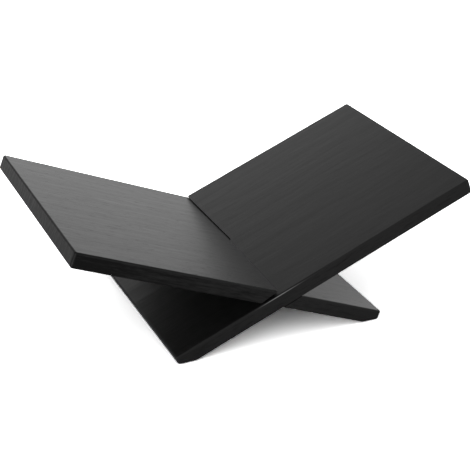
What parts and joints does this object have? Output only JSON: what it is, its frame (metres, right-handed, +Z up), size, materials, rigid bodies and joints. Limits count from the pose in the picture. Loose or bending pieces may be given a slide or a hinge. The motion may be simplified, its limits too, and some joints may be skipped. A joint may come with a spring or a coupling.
{
  "type": "book display stand",
  "caption": "Free-standing book stand of flat boards that cross in an X through angled half-lap slots, with bevelled feet and a wide V that holds an open book.",
  "frame": {"origin": "on the floor, at the middle of the stand's width and depth", "axes": "+Z up, +X to the right across the width, front at -Y; the boards cross along Y"},
  "size_m": [0.438, 0.26, 0.1439],
  "materials": {
    "black_stained_wood": "satin"
  },
  "bodies": {
    "left_board": {"left_board": "black_stained_wood"},
    "right_board": {"right_board": "black_stained_wood"}
  },
  "joints": [
    {"name": "slide_apart", "type": "slide", "parent": "left_board", "child": "right_board", "axis": [0, -1, 0], "range_m": [0, 0.265]}
  ]
}
